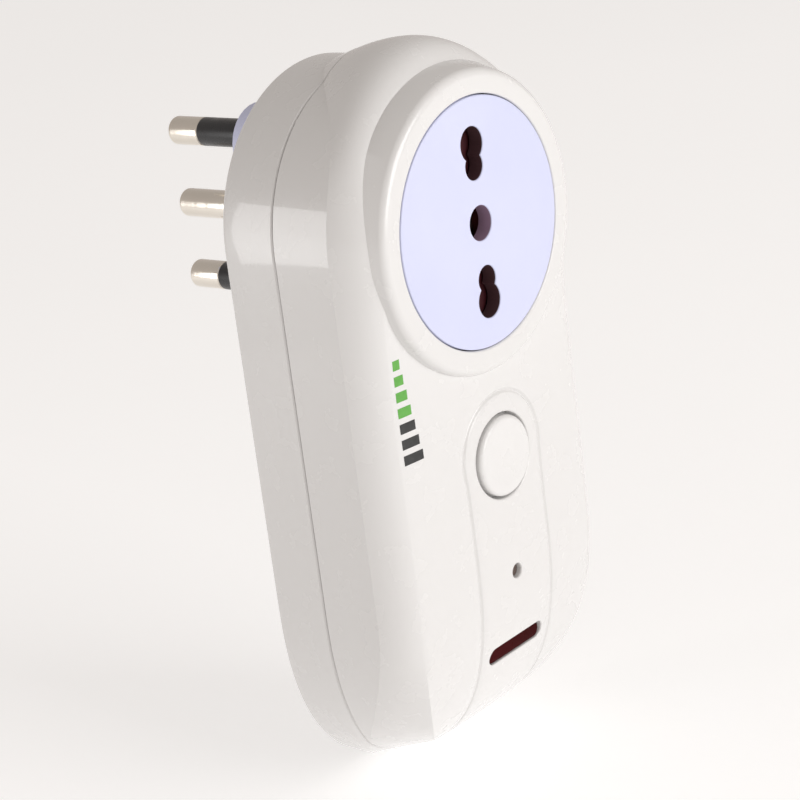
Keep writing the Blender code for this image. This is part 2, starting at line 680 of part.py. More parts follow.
def main_board():
    front = BOARD_Y - BOARD_THICKNESS / 2
    back = BOARD_Y + BOARD_THICKNESS / 2
    corner = 5 * MM
    wide = BOARD_HALF_WIDTH
    outline = [(wide, BOARD_BOTTOM + corner), (wide, BOARD_TOP), (-wide, BOARD_TOP), (-wide, BOARD_BOTTOM + corner),
               (corner - wide, BOARD_BOTTOM), (wide - corner, BOARD_BOTTOM)]
    board = plate("main_board", outline, front, back, "board_green")
    for i, (x, z) in enumerate(BOARD_SCREWS, 1):
        cut(board, rod(f"board_hole_{i}", 1.2 * MM, -40 * MM, -20 * MM, x, z, sides=12))


def on_board(name, x, z, size, finish, bevel=0.0, front=False):
    """A boxed component at (x, z) on the back of the board, or on its front."""
    wide, deep, tall = size
    start = BOARD_Y - BOARD_THICKNESS / 2 - GAP - deep if front else BOARD_Y + BOARD_THICKNESS / 2 + GAP
    low = (x - wide / 2, start, z - tall / 2)
    return box(name, low, (x + wide / 2, start + deep, z + tall / 2), finish, bevel)


def components():
    back = BOARD_Y + BOARD_THICKNESS / 2 + GAP
    on_board("relay", 9 * MM, -41.5 * MM, (15.2 * MM, 10.4 * MM, 19 * MM), "relay_blue", 0.5 * MM)
    on_board("film_capacitor", -8.8 * MM, -36.5 * MM, (13 * MM, 8 * MM, 6 * MM), "capacitor_yellow", 0.6 * MM)
    on_board("meter_chip", 10 * MM, -69 * MM, (7.5 * MM, 1.6 * MM, 6 * MM), "chip_black", 0.2 * MM, True)
    on_board("radio_module", -10.5 * MM, -43.5 * MM, (11 * MM, 2.2 * MM, 15 * MM), "steel", 0.3 * MM, True)
    bpy.ops.mesh.primitive_cylinder_add(
        vertices=24, radius=4 * MM, depth=11 * MM, location=(-10.5 * MM, back + 4 * MM, -47.5 * MM))
    capacitor = file_under(bpy.context.object, "electrolytic_capacitor", "chip_black")
    shade(capacitor)
    add_bevel(capacitor, 0.5 * MM)
    bpy.ops.mesh.primitive_cylinder_add(
        vertices=24, radius=4.5 * MM, depth=3.4 * MM, location=(5 * MM, back + 4.5 * MM, -56 * MM))
    varistor = file_under(bpy.context.object, "varistor", "varistor_blue")
    shade(varistor)
    add_bevel(varistor, 0.8 * MM)
    bpy.ops.mesh.primitive_cylinder_add(
        vertices=16, radius=2 * MM, depth=9 * MM, location=(-8 * MM, back + 2 * MM, -66 * MM),
        rotation=(0, pi / 2, 0))
    fuse = file_under(bpy.context.object, "fuse", "inner_plastic")
    shade(fuse)


def wires():
    back = BOARD_Y + BOARD_THICKNESS / 2 + GAP
    wire_radius = 0.8 * MM
    shunt = [(5.0, 0.8), (5.0, 3.6), (5.6, 4.6), (6.6, 5.0), (11.4, 5.0), (12.4, 4.6), (13.0, 3.6), (13.0, 0.8)]
    wire("shunt_resistor", [(x * MM, back + depth * MM - 0.8 * MM, -68 * MM) for x, depth in shunt],
         wire_radius, "copper")
    pin_end = PIN_INNER_END - GAP
    tail = CARRIER_BACK + 2 * MM + GAP
    busbars = (("neutral", -PIN_PITCH, contact_places()[1][1]), ("earth", 0.0, 0.0))
    for name, pin_z, contact_z in busbars:
        low = (-1.8 * MM, tail, min(pin_z, contact_z) - 1.2 * MM)
        box("busbar_" + name, low, (1.8 * MM, pin_end, max(pin_z, contact_z) + 1.2 * MM), "copper", 0.2 * MM)
    line = [(0, pin_end - wire_radius, 13 * MM), (-6 * MM, pin_end - 2 * MM, 12 * MM),
            (-14 * MM, pin_end - 2.5 * MM, 2 * MM), (-14.8 * MM, pin_end - 2.5 * MM, -18 * MM),
            (-15 * MM, -24 * MM, -27 * MM), (-17.4 * MM, -26.5 * MM, -33 * MM),
            (-17.4 * MM, back + 1.2 * MM, -39 * MM)]
    wire("wire_line", smooth_route(line), wire_radius, "wire_brown")
    load = [(0, tail + wire_radius, contact_places()[0][1]), (6 * MM, tail + MM, 10 * MM),
            (13 * MM, tail + 1.5 * MM, 2 * MM), (14 * MM, tail + MM, -14 * MM), (14 * MM, -25.5 * MM, -25 * MM),
            (14 * MM, back + 1.4 * MM, -30.6 * MM)]
    wire("wire_load", smooth_route(load), wire_radius, "wire_brown")
    supply = [(-2.8 * MM, -22 * MM, -13 * MM), (-4.5 * MM, -22 * MM, -18 * MM), (-4 * MM, -24 * MM, -27 * MM),
              (-2.5 * MM, back + 1.3 * MM, -33 * MM)]
    wire("wire_neutral", smooth_route(supply), wire_radius, "wire_blue")
    antenna = [(-9 * MM, -33 * MM, -52 * MM), (-8 * MM, -34.5 * MM, -56 * MM), (-8 * MM, -35 * MM, -63 * MM),
               (-9 * MM, -34.5 * MM, -70 * MM)]
    wire("radio_antenna", smooth_route(antenna), 0.4 * MM, "copper")


clear_scene()
PARTS = new_collection("plug_in_power_meter")
CUTTERS = new_collection("cutters")
front_cover()
rear_cover()
plug_boss()
pins()
socket_disc()
contact_carrier()
contacts()
shutter()
shutter_spring()
button()
lamp()
window()
main_board()
components()
wires()
screws()
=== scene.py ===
"""Looks of the plug-in power meter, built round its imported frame.

Metres throughout. +Y points into the wall, -Y out of it, +Z up; the origin is on the earth
pin's axis in the plane of the plug's face.
"""
from math import atan2, copysign, cos, exp, pi, radians, sin, sqrt

import bmesh
import bpy
import numpy as np
from mathutils import Matrix, Vector, kdtree
from mathutils.geometry import delaunay_2d_cdt


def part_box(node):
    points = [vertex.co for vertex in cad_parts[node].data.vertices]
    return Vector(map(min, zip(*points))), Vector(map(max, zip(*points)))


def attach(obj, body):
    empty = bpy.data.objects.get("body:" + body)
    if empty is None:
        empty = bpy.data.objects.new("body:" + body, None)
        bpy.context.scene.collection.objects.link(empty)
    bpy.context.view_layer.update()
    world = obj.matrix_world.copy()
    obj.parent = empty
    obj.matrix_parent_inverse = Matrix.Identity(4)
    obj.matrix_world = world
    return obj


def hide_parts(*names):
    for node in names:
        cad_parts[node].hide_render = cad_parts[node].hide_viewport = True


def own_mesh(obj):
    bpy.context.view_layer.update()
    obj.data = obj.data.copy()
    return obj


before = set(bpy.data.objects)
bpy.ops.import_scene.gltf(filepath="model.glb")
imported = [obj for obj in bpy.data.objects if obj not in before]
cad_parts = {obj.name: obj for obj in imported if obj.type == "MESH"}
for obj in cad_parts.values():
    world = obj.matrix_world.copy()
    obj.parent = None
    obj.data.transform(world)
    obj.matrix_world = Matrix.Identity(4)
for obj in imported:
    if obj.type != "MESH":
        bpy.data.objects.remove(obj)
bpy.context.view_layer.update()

MM = 0.001
GAP = 0.3 * MM

# Case, as in the CAD source
REAR_Y = -13.5 * MM
REAR_EDGE = 1.3 * MM
HEAD_RADIUS = 26.7 * MM
SIDE_FLARE = 0.075
FOOT_Z = -60.8 * MM
FOOT_HEIGHT = 36.0 * MM
FOOT_POWER = 2.4
WALL = 2.0 * MM
SEAM_Y = -25.3 * MM
CREASE_Y = -37.4 * MM
HEAD_CREASE_RISE = 17.0 * MM
FOOT_CREASE_RISE = 21.3 * MM
ROLL_INSET = 4.5 * MM
HEAD_BULGE = 7.5 * MM
FRONT_Y = -45.0 * MM
CREST_Z = -55.0 * MM
HEAD_FALL = 7.5
CROWN = 3.3
SHOULDER = 4.0
SHOULDER_Z = 3.0 * MM
SHOULDER_SPREAD = 16.0 * MM
NOSE_BACK = -15.0 * MM
NOSE_HEIGHT = 38.5 * MM
NOSE_POWER = 2.6

# Socket, plug and controls
DISC_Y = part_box("socket_disc")[0].y
DISC_RADIUS = 20.55 * MM
DISC_THICKNESS = 2.5 * MM
COLLAR_RADIUS = 25.0 * MM
COLLAR_BASE_RADIUS = 26.0 * MM
COLLAR_BACK = -37.0 * MM
HOLE_RADIUS = 2.9 * MM
SMALL_HOLE_RADIUS = 2.3 * MM
SMALL_HOLE_Z = 9.4 * MM
PIN_PITCH = 13.0 * MM
PIN_RADIUS = 2.5 * MM
NECK_RADIUS = 1.8 * MM
SLEEVE_END = 12.0 * MM
PIN_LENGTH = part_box("pin_earth")[1].y
PIN_INNER_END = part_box("pin_earth")[0].y
BOSS_HALF_WIDTH = 6.9 * MM
BOSS_HALF_HEIGHT = 18.5 * MM
BUTTON_Z = -40.0 * MM
BUTTON_RADIUS = 6.85 * MM
BUTTON_BORE = BUTTON_RADIUS + 0.5 * MM
BUTTON_FACE_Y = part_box("button_cap")[0].y
LAMP_Z = -60.7 * MM
LAMP_RADIUS = 1.25 * MM
WINDOW_Z = -74.4 * MM
WINDOW_LENGTH = 15.0 * MM
WINDOW_HEIGHT = 3.0 * MM
WINDOW_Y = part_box("indicator_window")[0].y
CASE_SCREWS = ((-20.5 * MM, -25.0 * MM), (20.5 * MM, -25.0 * MM), (-12.5 * MM, -83.0 * MM), (12.5 * MM, -83.0 * MM))

ARC_STEPS = 84
SIDE_STEPS = 40
ROLL_STEPS = 16
SPACING = 1.5 * MM      # of the free points on the faces
SHARP = 30.0            # degrees


# ---------------------------------------------------------------- materials

def node(tree, kind, **settings):
    made = tree.nodes.new(kind)
    for key, value in settings.items():
        setattr(made, key, value)
    return made


def noise(tree, place, scale, detail=3.0, stretch=None):
    made = node(tree, "ShaderNodeTexNoise")
    made.inputs["Scale"].default_value = scale
    made.inputs["Detail"].default_value = detail
    if stretch:
        turn = node(tree, "ShaderNodeMapping")
        turn.inputs["Scale"].default_value = stretch
        tree.links.new(place, turn.inputs["Vector"])
        place = turn.outputs["Vector"]
    tree.links.new(place, made.inputs["Vector"])
    return made.outputs["Fac"]


def ranged(tree, value, low, high, start=0.3, end=0.7):
    made = node(tree, "ShaderNodeMapRange")
    made.inputs["From Min"].default_value = start
    made.inputs["From Max"].default_value = end
    made.inputs["To Min"].default_value = low
    made.inputs["To Max"].default_value = high
    tree.links.new(value, made.inputs["Value"])
    return made.outputs["Result"]


def surface(name, colour, other, rough, metallic=0.0, patch=60.0, grain=2500.0, relief=0.01, coat=0.0,
            stretch=None, wave=0.0, subsurface=0.0, transmission=0.0, ior=1.5):
    """A Principled finish with drifting colour, uneven roughness and a fine relief."""
    made = bpy.data.materials.new(name)
    made.use_nodes = True
    tree = made.node_tree
    shader = tree.nodes["Principled BSDF"]
    place = node(tree, "ShaderNodeTexCoord").outputs["Object"]
    mix = node(tree, "ShaderNodeMix", data_type="RGBA")
    mix.inputs[6].default_value = (*colour, 1.0)
    mix.inputs[7].default_value = (*other, 1.0)
    tree.links.new(ranged(tree, noise(tree, place, patch, 4.0), 0.0, 1.0), mix.inputs[0])
    tree.links.new(mix.outputs[2], shader.inputs["Base Color"])
    tree.links.new(ranged(tree, noise(tree, place, grain * 0.2, 4.0, stretch), *rough), shader.inputs["Roughness"])
    height = noise(tree, place, grain, 2.0, stretch)
    bump = node(tree, "ShaderNodeBump")
    bump.inputs["Distance"].default_value = relief * MM
    bump.inputs["Strength"].default_value = 0.6
    tree.links.new(height, bump.inputs["Height"])
    last = bump.outputs["Normal"]
    if wave:
        slow = node(tree, "ShaderNodeBump")
        slow.inputs["Distance"].default_value = wave * MM
        slow.inputs["Strength"].default_value = 0.5
        tree.links.new(noise(tree, place, 130.0, 1.0), slow.inputs["Height"])
        tree.links.new(slow.outputs["Normal"], bump.inputs["Normal"])
    tree.links.new(last, shader.inputs["Normal"])
    shader.inputs["Metallic"].default_value = metallic
    shader.inputs["IOR"].default_value = ior
    shader.inputs["Coat Weight"].default_value = coat
    shader.inputs["Coat Roughness"].default_value = 0.05
    shader.inputs["Subsurface Weight"].default_value = subsurface
    shader.inputs["Subsurface Scale"].default_value = 1.0 * MM
    shader.inputs["Transmission Weight"].default_value = transmission
    return made


WHITE = surface("white_shell", (0.746, 0.738, 0.730), (0.742, 0.733, 0.724), (0.26, 0.28), patch=30.0, grain=900.0,
                relief=0.0002, coat=0.6)
CAP = surface("white_cap", (0.766, 0.760, 0.752), (0.762, 0.755, 0.746), (0.26, 0.30), patch=40.0, grain=900.0,
              relief=0.0002, coat=0.25)
LAVENDER = surface("lavender_disc", (0.655, 0.68, 0.88), (0.63, 0.655, 0.86), (0.42, 0.55), relief=0.008, grain=4000.0)
SLEEVE = surface("black_sleeve", (0.012, 0.012, 0.014), (0.02, 0.02, 0.022), (0.22, 0.38), relief=0.006)
NICKEL = surface("nickel_pin", (0.83, 0.78, 0.71), (0.76, 0.71, 0.63), (0.12, 0.24), metallic=1.0, grain=900.0,
                 relief=0.004, stretch=(1.0, 9.0, 1.0))
BRASS = surface("brass_spring", (0.66, 0.47, 0.20), (0.56, 0.38, 0.16), (0.22, 0.40), metallic=1.0, relief=0.006)
STEEL = surface("steel_screw", (0.50, 0.50, 0.51), (0.42, 0.42, 0.43), (0.22, 0.40), metallic=1.0, relief=0.008)
COPPER = surface("copper_bar", (0.68, 0.33, 0.18), (0.58, 0.27, 0.14), (0.25, 0.42), metallic=1.0, relief=0.006)
WINDOW = surface("red_window", (0.030, 0.003, 0.003), (0.050, 0.003, 0.004), (0.22, 0.34), relief=0.002, ior=1.1)
LAMP = surface("lamp_resin", (0.13, 0.095, 0.08), (0.10, 0.07, 0.06), (0.20, 0.32), relief=0.003, ior=1.3)
INNER = surface("inner_moulding", (0.075, 0.04, 0.045), (0.055, 0.03, 0.035), (0.42, 0.6), relief=0.01)
# Painted shade: a dull purple-grey, a darkened lavender, standing in for the earth hole's lavender wall in shade.
EARTH_BORE_PAINTED_SHADE = surface("earth_bore_painted_shade", (0.36, 0.24, 0.34), (0.31, 0.20, 0.29), (0.35, 0.5), relief=0.006)
BORE = surface("bore_moulding", (0.085, 0.04, 0.045), (0.065, 0.03, 0.035), (0.35, 0.5), relief=0.006)
SHUTTER = surface("maroon_shutter", (0.065, 0.010, 0.014), (0.045, 0.008, 0.011), (0.35, 0.5), relief=0.008)
BOARD = surface("board_resin", (0.012, 0.14, 0.05), (0.008, 0.10, 0.035), (0.32, 0.48), patch=220.0, relief=0.01)
RELAY = surface("relay_case", (0.025, 0.10, 0.34), (0.02, 0.08, 0.28), (0.30, 0.42), relief=0.01)
YELLOW = surface("capacitor_box", (0.70, 0.50, 0.05), (0.62, 0.43, 0.04), (0.35, 0.5), relief=0.01)
VARISTOR = surface("varistor_lacquer", (0.03, 0.13, 0.40), (0.025, 0.10, 0.32), (0.35, 0.55), relief=0.03)
CHIP = surface("chip_resin", (0.022, 0.022, 0.023), (0.03, 0.03, 0.031), (0.45, 0.62), relief=0.012)
BROWN = surface("brown_wire", (0.16, 0.065, 0.03), (0.12, 0.05, 0.022), (0.38, 0.5), relief=0.008)
BLUE = surface("blue_wire", (0.025, 0.09, 0.38), (0.02, 0.07, 0.30), (0.38, 0.5), relief=0.008)
GREEN_INK = surface("green_ink", (0.10, 0.36, 0.05), (0.13, 0.42, 0.07), (0.35, 0.5), patch=900.0, relief=0.004)
DARK_INK = surface("dark_ink", (0.018, 0.018, 0.018), (0.035, 0.035, 0.035), (0.35, 0.5), patch=900.0, relief=0.004)
FLOOR = surface("floor_paper", (0.90, 0.90, 0.90), (0.88, 0.88, 0.88), (0.75, 0.9), patch=3.0, grain=600.0, relief=0.02)
FLOOR.node_tree.nodes["Principled BSDF"].inputs["Emission Color"].default_value = (1.0, 1.0, 1.0, 1.0)
FLOOR.node_tree.nodes["Principled BSDF"].inputs["Emission Strength"].default_value = 0.38


# ---------------------------------------------------------------- mesh helpers

def piece(name, bm, finish, body, replaced=(), sharp=SHARP, keep_sharp=()):
    """Store a bmesh as a shaded object that rides on a body."""
    bmesh.ops.recalc_face_normals(bm, faces=bm.faces)
    mesh = bpy.data.meshes.new(name)
    bm.to_mesh(mesh)
    bm.free()
    item = bpy.data.objects.new(name, mesh)
    bpy.context.scene.collection.objects.link(item)
    for one in finish if isinstance(finish, (list, tuple)) else [finish]:
        mesh.materials.append(one)
    shade(mesh, sharp, keep_sharp)
    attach(item, body)
    if replaced:
        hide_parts(*replaced)
    return item


def shade(mesh, sharp=SHARP, keep_sharp=()):
    """Smooth shading, split where faces meet at more than an angle or along kept points."""
    kept = {key(place) for place in keep_sharp}
    bm = bmesh.new()
    bm.from_mesh(mesh)
    for face in bm.faces:
        face.smooth = True
    for edge in bm.edges:
        steep = len(edge.link_faces) == 2 and edge.calc_face_angle(0.0) > radians(sharp)
        edge.smooth = not (steep or all(key(vert.co) in kept for vert in edge.verts))
    bm.to_mesh(mesh)
    bm.free()


def key(place):
    return tuple(round(value / (0.01 * MM)) for value in place)


def band(bm, rings, closed=True):
    """Quads between rings of equal length."""
    for ring, following in zip(rings, rings[1:]):
        count = len(ring)
        for i in range(count if closed else count - 1):
            j = (i + 1) % count
            bm.faces.new((ring[i], ring[j], following[j], following[i]))


def loop(bm, outline, depth, offset=None):
    """A ring of vertices over an (x, z) outline; depth is a number or a function of x and z."""
    made = []
    for x, z in outline:
        vert = bm.verts.new((x, depth(x, z) if callable(depth) else depth, z))
        if offset is not None:
            vert[bm.verts.layers.float_vector["inner"]] = offset
        made.append(vert)
    return made


def circle(radius, x=0.0, z=0.0, steps=64):
    return [(x + radius * cos(2 * pi * i / steps), z + radius * sin(2 * pi * i / steps)) for i in range(steps)]


def stadium(length, height, z, grow=0.0, steps=16):
    radius = height / 2 + grow
    reach = (length - height) / 2
    outline = [(reach + radius * cos(a), z + radius * sin(a)) for a in (pi * (i / steps - 0.5) for i in range(steps + 1))]
    return outline + [(-x, 2 * z - zz) for x, zz in outline]


def ellipse(half_width, half_height, steps=96):
    return [(half_width * cos(2 * pi * i / steps), half_height * sin(2 * pi * i / steps)) for i in range(steps)]


def contains(outline, points):
    """Which points lie inside a closed (x, z) outline."""
    inside = np.zeros(len(points), bool)
    x, z = points[:, 0], points[:, 1]
    for (ax, az), (bx, bz) in zip(outline, outline[1:] + outline[:1]):
        crosses = (az > z) != (bz > z)
        if az != bz:
            inside ^= crosses & (x < (bx - ax) * (z - az) / (bz - az) + ax)
    return inside


def fill(bm, edge_loops, lines=(), free=(), depth=None, offset=None):
    """Triangles between an outer loop and its holes, through lines and free (x, z) points."""
    verts, edges = [], []
    for ring in edge_loops:
        first = len(verts)
        verts += ring
        edges += [(first + i, first + (i + 1) % len(ring)) for i in range(len(ring))]
    for line in lines:
        first = len(verts)
        verts += line
        edges += [(first + i, first + i + 1) for i in range(len(line) - 1)]
    near = kdtree.KDTree(len(verts))
    for i, vert in enumerate(verts):
        near.insert((vert.co.x, 0.0, vert.co.z), i)
    near.balance()
    outlines = [[(vert.co.x, vert.co.z) for vert in ring] for ring in edge_loops]
    if len(free):
        points = np.array(free)
        keep = contains(outlines[0], points)
        for outline in outlines[1:]:
            keep &= ~contains(outline, points)
        spots = [(x, z) for x, z in points[keep] if near.find((x, 0.0, z))[2] > 0.6 * SPACING]
        verts += loop(bm, spots, depth, offset)
    flat = [Vector((vert.co.x, vert.co.z)) for vert in verts]
    places, _, faces, origins, _, _ = delaunay_2d_cdt(flat, edges, [], 0, 1e-9, True)
    centres = np.array([sum((places[i] for i in face), Vector((0.0, 0.0))) / len(face) for face in faces])
    keep = contains(outlines[0], centres)
    for outline in outlines[1:]:
        keep &= ~contains(outline, centres)
    for face, kept in zip(faces, keep):
        if kept:
            bm.faces.new([verts[origins[i][0]] for i in face])


def thicken(bm):
    """Close a skin into a solid with each vertex's stored offset to the inner side."""
    layer = bm.verts.layers.float_vector["inner"]
    outer = list(bm.verts)
    faces = list(bm.faces)
    rims = [(edge.link_loops[0].vert, edge.link_loops[0].link_loop_next.vert) for edge in bm.edges if edge.is_boundary]
    twins = {vert: bm.verts.new(vert.co + vert[layer]) for vert in outer}
    for face in faces:
        bm.faces.new([twins[vert] for vert in reversed(face.verts)])
    for a, b in rims:
        bm.faces.new((b, a, twins[a], twins[b]))


def skin():
    bm = bmesh.new()
    bm.verts.layers.float_vector.new("inner")
    return bm


def spun(profile, x=0.0, z=0.0, steps=64, closed=False):
    """A solid turned about a line along Y, from (radius, y) points."""
    bm = bmesh.new()
    rings = []
    for radius, y in profile:
        if radius < 1e-9:
            rings.append([bm.verts.new((x, y, z))] * steps)
        else:
            rings.append([bm.verts.new((x + radius * cos(2 * pi * i / steps), y, z + radius * sin(2 * pi * i / steps)))
                          for i in range(steps)])
    pairs = list(zip(rings, rings[1:]))
    if closed:
        pairs.append((rings[-1], rings[0]))
    for ring, following in pairs:
        for i in range(steps):
            j = (i + 1) % steps
            corners = []
            for vert in (ring[i], ring[j], following[j], following[i]):
                if vert not in corners:
                    corners.append(vert)
            bm.faces.new(corners)
    return bm


def rounded(centre, radius, start, end, steps=8):
    """Points (radius, y) on an arc between two angles in degrees."""
    turns = [radians(start + (end - start) * i / steps) for i in range(steps + 1)]
    return [(centre[0] + radius * cos(t), centre[1] + radius * sin(t)) for t in turns]


def combined(bm, other, operation):
    """One bmesh joined with another or cut by it."""
    made = []
    for name, part in (("base", bm), ("tool", other)):
        bmesh.ops.recalc_face_normals(part, faces=part.faces)
        mesh = bpy.data.meshes.new(name)
        part.to_mesh(mesh)
        part.free()
        item = bpy.data.objects.new(name, mesh)
        bpy.context.scene.collection.objects.link(item)
        made.append(item)
    base, tool = made
    change = base.modifiers.new(operation, "BOOLEAN")
    change.operation = operation
    change.object = tool
    change.solver = "EXACT"
    graph = bpy.context.evaluated_depsgraph_get()
    result = bmesh.new()
    result.from_mesh(base.evaluated_get(graph).to_mesh())
    for item in made:
        mesh = item.data
        bpy.data.objects.remove(item)
        bpy.data.meshes.remove(mesh)
    return result


# ---------------------------------------------------------------- case surface

def front_depth(x, z):
    """Depth of the crowned front face at a point."""
    crown = (CROWN - SHOULDER * exp(-((z - SHOULDER_Z) / SHOULDER_SPREAD) ** 2)) * x * x
    if z > CREST_Z:
        return FRONT_Y + HEAD_FALL * (z - CREST_Z) ** 3 + crown
    drop = min((CREST_Z - z) / NOSE_HEIGHT, 0.98) ** NOSE_POWER
    return NOSE_BACK + (FRONT_Y - NOSE_BACK) * (1 - drop) ** (1 / NOSE_POWER) + crown


class Station:
    """One place on the outline, seen from the nearest point of the case's spine."""

    def __init__(self, spine_z, across, up):
        self.spine_z = spine_z
        self.across = across
        self.up = up
        self.head = max(up, 0.0) ** 4.5
        self.bulge = max(up, 0.0) ** 3.3
        self.foot = max(-up, 0.0)

    def edge(self, y):
        width = HEAD_RADIUS + SIDE_FLARE * (REAR_Y - y) * (1 - self.head)
        height = FOOT_HEIGHT if self.foot else width
        return Vector((self.across * width, self.up * height))

    def point(self, y, inset=0.0):
        reach = self.edge(y)
        reach -= reach.normalized() * inset
        return Vector((reach.x, y, self.spine_z + reach.y))

    def offset(self, lean):
        """Step to the inner side of the wall; lean 0 points to the spine, 1 forwards and -1 backwards."""
        reach = self.edge(CREASE_Y).normalized()
        inward = cos(lean * pi / 2)
        return Vector((-reach.x * inward, sin(lean * pi / 2), -reach.y * inward)) * WALL

    def crease(self):
        rise = HEAD_CREASE_RISE * self.head + FOOT_CREASE_RISE * self.foot ** 1.85
        return CREASE_Y + rise

    def section(self):
        """(point, offset) from the inner edge of the rear rim to the inner edge of the front roll."""
        rows = []
        for i in range(11):
            turn = pi / 2 * i / 10
            y = REAR_Y - REAR_EDGE * (1 - cos(turn))
            rows.append((self.point(y, inset=REAR_EDGE * (1 - sin(turn))), self.offset(-1 + i / 10)))
        wall_start = REAR_Y - REAR_EDGE
        crease = self.crease()
        for t in (0.2, 0.4, 0.6, 0.8, 1.0):
            rows.append((self.point(wall_start + (crease - wall_start) * t), self.offset(0.0)))
        inset = ROLL_INSET * (1 - 0.6 * self.head)
        start = self.point(crease)
        end = self.point(crease, inset=inset)
        end.y = front_depth(end.x, end.z)
        bulge = HEAD_BULGE * self.bulge - 0.3 * ROLL_INSET * (1 - self.bulge)
        middle = self.point(crease, inset=-bulge)
        middle.y = end.y + 1.5 * MM + MM * self.bulge + 10 * MM * self.foot ** 2
        for i in range(1, ROLL_STEPS + 1):
            t = i / ROLL_STEPS
            place = start * (1 - t) ** 2 + middle * 2 * t * (1 - t) + end * t ** 2
            rows.append((place, self.offset(t)))
        return rows


CREASE_ROW = 15


def stations():
    """Places round the outline: head, left side, foot, right side."""
    turns = [pi * i / ARC_STEPS for i in range(ARC_STEPS)]
    head = [Station(0.0, cos(turn), sin(turn)) for turn in turns]
    left = [Station(FOOT_Z * i / SIDE_STEPS, -1.0, 0.0) for i in range(SIDE_STEPS)]
    power = 2 / FOOT_POWER
    foot = [Station(FOOT_Z, -copysign(abs(cos(turn)) ** power, cos(turn)), -sin(turn) ** power) for turn in turns]
    right = [Station(FOOT_Z * (1 - i / SIDE_STEPS), 1.0, 0.0) for i in range(SIDE_STEPS)]
    return head + left + foot + right


def case_band():
    """The case's side wall as a skin, with its rows of vertices."""
    bm = skin()
    layer = bm.verts.layers.float_vector["inner"]
    columns = []
    for station in stations():
        column = []
        for place, offset in station.section():
            vert = bm.verts.new(place)
            vert[layer] = offset
            column.append(vert)
        columns.append(column)
    rows = [list(row) for row in zip(*columns)]
    band(bm, rows)
    return bm, rows


def part_at_seam(bm, front):
    """Keep one side of the seam, with a small chamfer along it."""
    side = -1 if front else 1
    chamfer = 0.25 * MM
    edge_y = SEAM_Y + side * 0.06 * MM
    for y in (edge_y + side * chamfer, edge_y):
        bmesh.ops.bisect_plane(
            bm, geom=[*bm.verts, *bm.edges, *bm.faces], dist=1e-7, plane_co=(0, y, 0), plane_no=(0, 1, 0),
            clear_outer=front and y == edge_y, clear_inner=not front and y == edge_y)
    layer = bm.verts.layers.float_vector["inner"]
    kept = []
    for vert in bm.verts:
        if abs(vert.co.y - edge_y) < 1e-6:
            inward = Vector((vert[layer].x, 0.0, vert[layer].z)).normalized()
            vert.co += inward * chamfer
            vert[layer] = inward * (WALL - chamfer)
        elif abs(vert.co.y - edge_y - side * chamfer) < 1e-6:
            kept.append(vert.co.copy())
    return kept


def free_points(low_z, high_z, half_width, depth=None):
    """Staggered rows of points, closer together where the face is steep."""
    made = []
    z = high_z
    row = 0
    while z > low_z:
        shift = 0.5 * (row % 2)
        count = int(half_width / SPACING) + 1
        made += [((i + shift) * SPACING, z) for i in range(-count, count)]
        slope = (depth(0.0, z - 0.1 * MM) - depth(0.0, z)) / (0.1 * MM) if depth else 0.0
        z -= 0.87 * SPACING / sqrt(1 + slope * slope)
        row += 1
    return made


def panel_line():
    """Centreline of the groove round the control panel, from the foot over the button and back."""
    turns = [radians(-12 + 204 * i / 60) for i in range(61)]
    radius = 10.4 * MM
    over = [(radius * cos(t), BUTTON_Z + 0.6 * MM + radius * sin(t)) for t in turns]
    right = []
    z = over[0][1] - MM
    while z > -89.0 * MM:
        down = (over[0][1] - z) / MM
        right.append(((10.0 + 0.17 * 2.718 ** (-down / 3.0) - 0.0004 * max(0.0, down - 28.0) ** 2) * MM, z))
        z -= MM
    left = [(-x, z) for x, z in right]
    return right[::-1] + over + left


def offset_line(line, distance):
    """The line moved sideways in its plane."""
    made = []
    for i, (x, z) in enumerate(line):
        ax, az = line[max(i - 1, 0)]
        bx, bz = line[min(i + 1, len(line) - 1)]
        length = sqrt((bx - ax) ** 2 + (bz - az) ** 2)
        made.append((x - (bz - az) / length * distance, z + (bx - ax) / length * distance))
    return made


def hole(bm, outline, depth, lips, offset):
    """Rings of a hole's rounded lip; outline is a function of growth. Returns the outermost ring."""
    rings = []
    for grow, sink in lips:
        rings.append(loop(bm, outline(grow), lambda x, z: depth(x, z) + sink, offset))
    band(bm, rings)
    return rings[0]


LIPS = ((0.45 * MM, 0.0), (0.25 * MM, 0.03 * MM), (0.1 * MM, 0.12 * MM), (0.02 * MM, 0.26 * MM), (0.0, 0.42 * MM))


